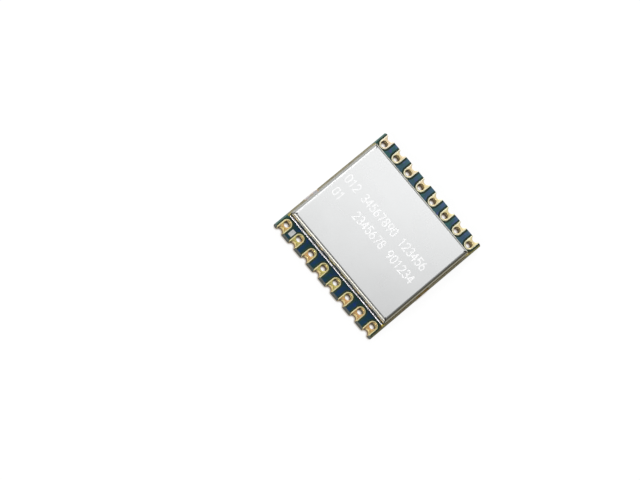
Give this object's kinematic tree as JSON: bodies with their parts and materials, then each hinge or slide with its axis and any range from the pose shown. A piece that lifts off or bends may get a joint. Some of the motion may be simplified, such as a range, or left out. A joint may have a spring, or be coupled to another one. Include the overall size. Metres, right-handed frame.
{
  "type": "surface mount radio module",
  "caption": "Small square radio module: blue circuit board with plated castellated edge pads on two sides and a flat metal shield over its parts.",
  "frame": {"origin": "middle of the board, at the level of the pads' undersides", "axes": "+X across the two pad columns, +Y along them towards pin 1, +Z out of the shield"},
  "size_m": [0.0158, 0.0158, 0.0024],
  "materials": {
    "glass_fibre": "cut glass fibre edge",
    "solder_mask": "satin blue solder mask",
    "gold_plating": "bright gold plating",
    "tinned_copper": "bright tin",
    "shield_sheet": "matte tinned sheet",
    "solder": "bright solder",
    "chip_epoxy": "moulded black epoxy",
    "crystal_ceramic": "dark ceramic",
    "crystal_lid_metal": "plated lid",
    "inductor_body": "ferrite body with tinned ends",
    "capacitor_body": "brown ceramic with tinned ends",
    "resistor_body": "black film with tinned ends"
  },
  "bodies": {
    "root": {"circuit_board": "glass_fibre", "solder_mask_minus_x": "solder_mask", "solder_mask_plus_x": "solder_mask", "solder_mask_floor": "solder_mask", "solder_mask_underside": "solder_mask", "edge_pad_01": "gold_plating", "edge_pad_02": "gold_plating", "edge_pad_03": "gold_plating", "edge_pad_04": "gold_plating", "edge_pad_05": "gold_plating", "edge_pad_06": "gold_plating", "edge_pad_07": "gold_plating", "edge_pad_08": "gold_plating", "edge_pad_09": "gold_plating", "edge_pad_10": "gold_plating", "edge_pad_11": "gold_plating", "edge_pad_12": "gold_plating", "edge_pad_13": "gold_plating", "edge_pad_14": "gold_plating", "edge_pad_15": "gold_plating", "edge_pad_16": "gold_plating", "tab_slot_plating_plus_y": "gold_plating", "tab_slot_plating_minus_y": "gold_plating", "tab_solder_plus_y": "solder", "tab_solder_minus_y": "solder", "ground_ring": "tinned_copper", "shield_can": "shield_sheet", "radio_chip": "chip_epoxy", "antenna_switch": "chip_epoxy", "crystal_base": "crystal_ceramic", "crystal_lid": "crystal_lid_metal", "inductor_01": "inductor_body", "inductor_02": "inductor_body", "inductor_03": "inductor_body", "inductor_04": "inductor_body", "capacitor_01": "capacitor_body", "capacitor_02": "capacitor_body", "capacitor_03": "capacitor_body", "capacitor_04": "capacitor_body", "capacitor_05": "capacitor_body", "capacitor_06": "capacitor_body", "capacitor_07": "capacitor_body", "capacitor_08": "capacitor_body", "capacitor_09": "capacitor_body", "capacitor_10": "capacitor_body", "resistor_01": "resistor_body", "resistor_02": "resistor_body", "resistor_03": "resistor_body"}
  },
  "joints": []
}
